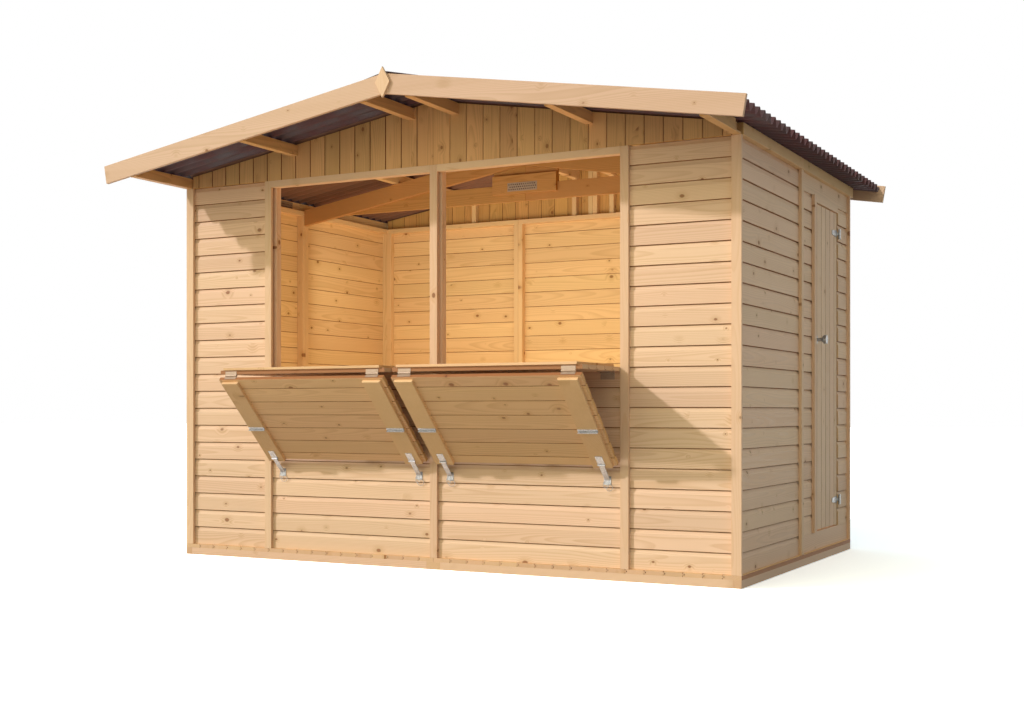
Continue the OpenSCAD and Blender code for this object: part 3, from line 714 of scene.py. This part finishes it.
# Faces turned to the room take painted warm bounce light.
for name, room in (("front_wall", Y), ("front_aprons", Y), ("back_wall", -Y)):
    boards(name, siding_spruce, Z, LAP, X, room, room=room)
for name, room in (("left_wall", X), ("right_wall", -X)):
    boards(name, siding_spruce, Z, LAP, Y, room, room=room)
timbers("door_surround", siding_spruce, Y, room=-X)
for name, room in (("front_gable", Y), ("rear_gable", -Y)):
    boards(name, gable_spruce, X, COVER, Z, room, mirrored=True, room=room)
boards("door_boards", siding_spruce, Y, COVER, Z, -X)
boards("counter_shelves", siding_spruce, -Y, LAP, X, Z)

# %% [markdown]
# ## Floor and shutter leaves
# The ends of the floor boards show at the front: each has a tongue that sits in the groove of
# its neighbour, and a hooked dark line marks the joint. So these boards are drawn as a profile
# and pushed out to the length of the CAD floor. The leaves hang at a slope, and their boards
# are sawn across it; the one at the fold was ripped down to 60 mm.

# %% Floor boards and leaves
DECK_GAP, DECK_EASE = 0.0011, 0.0026
DECK_TONGUE, DECK_REACH = 0.0055, 0.0065
GROOVE_PLAY = 0.7 * DECK_GAP


def deck_board(x0, x1, low, high, tongue_left, tongue_right):
    """A floor board with a groove on its left and a tongue on its right."""
    z0, z1 = low.z, high.z
    middle, half = (z0 + z1) / 2, DECK_TONGUE / 2
    left, right = x0 + DECK_GAP * tongue_left, x1 - DECK_GAP * tongue_right
    ease_left, ease_right = DECK_EASE * tongue_left, DECK_EASE * tongue_right
    profile = [(left, z0), (right, z0)]
    if tongue_right:
        profile += [(right, middle - half), (right + DECK_REACH, middle - half),
                    (right + DECK_REACH, middle + half), (right, middle + half)]
    profile += [(right, z1 - ease_right), (right - ease_right, z1),
                (left + ease_left, z1), (left, z1 - ease_left)]
    if tongue_left:
        mouth, depth = half + GROOVE_PLAY, DECK_REACH + DECK_GAP
        profile += [(left, middle + mouth), (left + depth, middle + mouth),
                    (left + depth, middle - mouth), (left, middle - mouth)]
    board = bmesh.new()
    ends = [[board.verts.new((x, y, z)) for x, z in profile] for y in (low.y, high.y)]
    board.faces.new(ends[0])
    board.faces.new(list(reversed(ends[1])))
    for i in range(len(profile)):
        j = (i + 1) % len(profile)
        board.faces.new((ends[0][j], ends[0][i], ends[1][i], ends[1][j]))
    bmesh.ops.recalc_face_normals(board, faces=board.faces)
    return board


deck = []
for solid in solids_of("floor_deck"):
    corners = [Vector((span(solid, X)[i], span(solid, Y)[i], span(solid, Z)[i])) for i in (0, 1)]
    count = math.ceil((corners[1].x - corners[0].x) / COVER - THINNEST_BOARD)
    for i in range(count):
        x0 = corners[0].x + i * COVER
        board = deck_board(x0, min(x0 + COVER, corners[1].x), *corners, i > 0, i < count - 1)
        # Side faces of the floor boards get painted shade with some dust; the tops get painted
        # bounce light.
        write_grain(board, Y, Z, X)
        deck.append(board)
    solid.free()
print("floor boards", len(deck))
join_solids("floor_deck_boards", deck, siding_spruce, "floor_deck", 0)

LEAF_SLOPE = math.radians(44.5)
DOWN_LEAF = Vector((0, math.cos(LEAF_SLOPE), -math.sin(LEAF_SLOPE)))
OUT_OF_LEAF = Vector((0, -math.sin(LEAF_SLOPE), -math.cos(LEAF_SLOPE)))
FOLD_BOARD = 0.060
boards("shutter_leaves", leaf_spruce, DOWN_LEAF, LAP, X, OUT_OF_LEAF, first=FOLD_BOARD)

# %% [markdown]
# ## Frame timbers, trim and fittings
# All other wooden nodes are squared timbers, each with its finish. Steel and roofing keep the
# shape of the CAD model and only take on a material.

# %% Frame timbers and trim
for name in ("floor_joists", "floor_rims", "window_headers", "front_studs", "front_rails"):
    timbers(name, siding_spruce)
for name in ("back_studs", "back_rails", "side_studs", "side_rails",
             "gable_studs", "eave_purlins", "purlins", "door_ledges", "door_stops"):
    timbers(name, frame_spruce)
# The purlin ends under the overhang take the gable finish, darker in part as painted shade.
for name in ("front_purlin_ends", "rear_purlin_ends"):
    timbers(name, gable_spruce)
for name in ("truss_ties", "truss_splice", "truss_rafters"):
    timbers(name, truss_spruce)
for name in ("cover_strips", "corner_strips", "finials"):
    timbers(name, trim_spruce)
timbers("barge_boards", barge_spruce)
timbers("shutter_battens", leaf_spruce)
for material, names in (
        (warm_zinc, ("shutter_hinges",)),
        (zinc, ("shutter_hasps", "shutter_brackets", "door_hinge_pins", "door_straps",
                "door_knob")),
        (bitumen, ("roof_sheet_left", "roof_sheet_right", "ridge_cap"))):
    for name in names:
        nodes[name].data.materials.clear()
        nodes[name].data.materials.append(material)
    print(material.name, "on", len(names), "CAD nodes")

# %% [markdown]
# ## Nail plates
# Punched steel plates join timbers inside: one on the splice of the truss, one on each eave
# purlin. In a grid, every second cell of every second row is left out for a punched hole,
# staggered from row to row, and a thin dark sheet behind the plate shows through the holes as
# painted shadow in the slots.

# %% Nail plates
CELL = 0.0062
PLATE = 0.0012
SHADOW_SHEET, SHADOW_SHEET_INSET = 0.0004, 0.004


def nail_plate(name, corner, along, up, length, height, out):
    """A punched plate from its corner, with rows of slots and a dark sheet as painted shadow."""
    across, rows = round(length / CELL), round(height / CELL)
    plate, shadow_sheet = bmesh.new(), bmesh.new()
    grid = [[plate.verts.new(corner + along * (length * i / across) + up * (height * j / rows))
             for j in range(rows + 1)] for i in range(across + 1)]
    for i in range(across):
        for j in range(rows):
            inside = 0 < i < across - 1 and 0 < j < rows - 1
            cell = (grid[i][j], grid[i + 1][j], grid[i + 1][j + 1], grid[i][j + 1])
            if not (inside and j % 2 == 1 and (i + j // 2) % 2 == 1):
                plate.faces.new(cell)
    plate.normal_update()
    whole = bmesh.ops.extrude_face_region(plate, geom=plate.faces[:])
    for item in whole["geom"]:
        if isinstance(item, bmesh.types.BMVert):
            item.co += out * PLATE
    bmesh.ops.recalc_face_normals(plate, faces=plate.faces)
    edges = Matrix((along * (length - SHADOW_SHEET_INSET), up * (height - SHADOW_SHEET_INSET),
                    out * SHADOW_SHEET)).transposed()
    middle = corner + along * (length / 2) + up * (height / 2) + out * SHADOW_SHEET
    bmesh.ops.create_cube(shadow_sheet, size=1.0, matrix=Matrix.Translation(middle) @ edges.to_4x4())
    bmesh.ops.recalc_face_normals(shadow_sheet, faces=shadow_sheet.faces)
    # The dark sheet behind the plate is painted shadow; it takes the dark roofing finish.
    for title, mesh, material in ((name, plate, warm_zinc),
                                  (name + "_painted_shadow", shadow_sheet, bitumen)):
        piece = join_solids(title, [mesh], material, rounding=0)
        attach(piece, "stall")
    print(name, across, "by", rows, "cells")


nail_plate("splice_nail_plate", Vector((-0.097, -0.006, 1.938)), X, Z, 0.176, 0.046, -Y)
for side in (-1, 1):
    nail_plate(f"purlin_nail_plate_{'right' if side > 0 else 'left'}",
               Vector((side * 1.4679, -0.205, 1.930)), Y, Z, 0.133, 0.040, X * -side)

# %% [markdown]
# ## Locking rings
# Thin wire rings hang from the hasps, two on each. A round wire is a small circle swept along
# a larger one.

# %% Rings on the hasps
STEPS, SIDES = 28, 8


def ring(centre, radius, wire, normal):
    """A wire ring as a closed tube."""
    normal = normal.normalized()
    first = normal.orthogonal().normalized()
    second = normal.cross(first)
    tube, loops = bmesh.new(), []
    for i in range(STEPS):
        turn = 2 * math.pi * i / STEPS
        out = first * math.cos(turn) + second * math.sin(turn)
        loop = []
        for j in range(SIDES):
            roll = 2 * math.pi * j / SIDES
            loop.append(tube.verts.new(centre + out * (radius + wire * math.cos(roll))
                                       + normal * (wire * math.sin(roll))))
        loops.append(loop)
    for i in range(STEPS):
        for j in range(SIDES):
            a, b = loops[i], loops[(i + 1) % STEPS]
            tube.faces.new((a[j], a[(j + 1) % SIDES], b[(j + 1) % SIDES], b[j]))
    bmesh.ops.recalc_face_normals(tube, faces=tube.faces)
    return tube


rings = []
for x in (-0.885, -0.085, 0.085, 0.885):
    rings.append(ring(Vector((x - 0.004, -0.980, 0.4255)), 0.0165, 0.0011, Vector((0.45, 1, 0.1))))
    rings.append(ring(Vector((x + 0.012, -0.979, 0.412)), 0.0150, 0.0010, Vector((-0.7, 1, 0.2))))
locking = join_solids("hasp_rings", rings, zinc, rounding=0)
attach(locking, "stall")
print("rings", len(rings))
